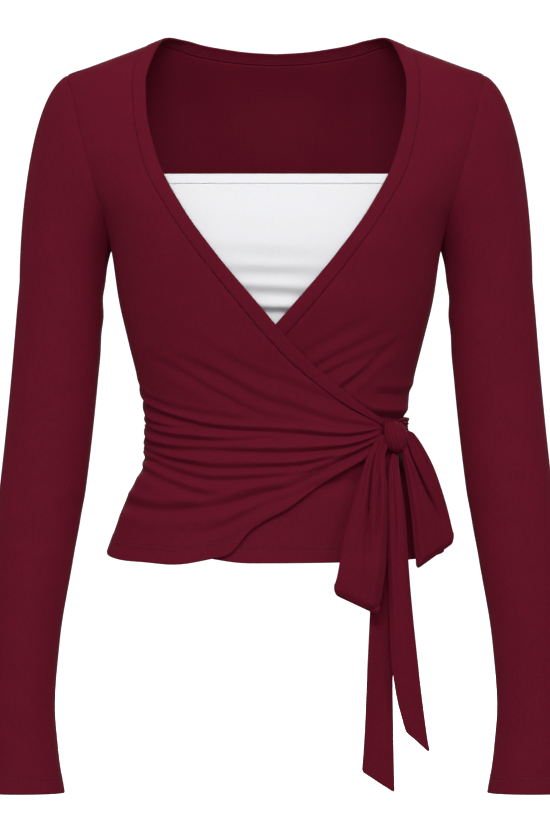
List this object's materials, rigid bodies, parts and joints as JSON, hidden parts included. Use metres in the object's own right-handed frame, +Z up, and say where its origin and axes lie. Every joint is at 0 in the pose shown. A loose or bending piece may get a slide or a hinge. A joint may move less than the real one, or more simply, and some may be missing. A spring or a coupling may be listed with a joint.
{
  "type": "long-sleeved wrap top",
  "caption": "Long-sleeved fitted wrap top with a deep V neck, a plain insert behind it and a tie knotted in a bow at the side of the waist.",
  "frame": {"origin": "midway between the two high neck points, where the wearer's shoulders hold the garment up", "axes": "+Z up, the front faces -Y, +X towards the wearer's left"},
  "size_m": [0.5208, 0.2307, 0.664],
  "materials": {
    "jersey": "matt fine stretch jersey, dark wine red, with a soft sheen",
    "binding": "folded binding of the same jersey",
    "tie": "double jersey tie, softly creased",
    "insert": "matt white stretch jersey"
  },
  "bodies": {
    "root": {"front_right": "jersey", "front_left": "jersey", "back": "jersey", "sleeve_right": "jersey", "sleeve_left": "jersey", "neckband_right": "binding", "neckband_left": "binding", "neckband_back": "binding", "insert_panel": "insert", "insert_band": "insert", "tie_knot": "tie", "tie_loop_inner": "tie", "tie_loop_outer": "tie", "tie_tail_long": "tie", "tie_tail_short": "tie", "tie_back": "tie"}
  },
  "joints": []
}
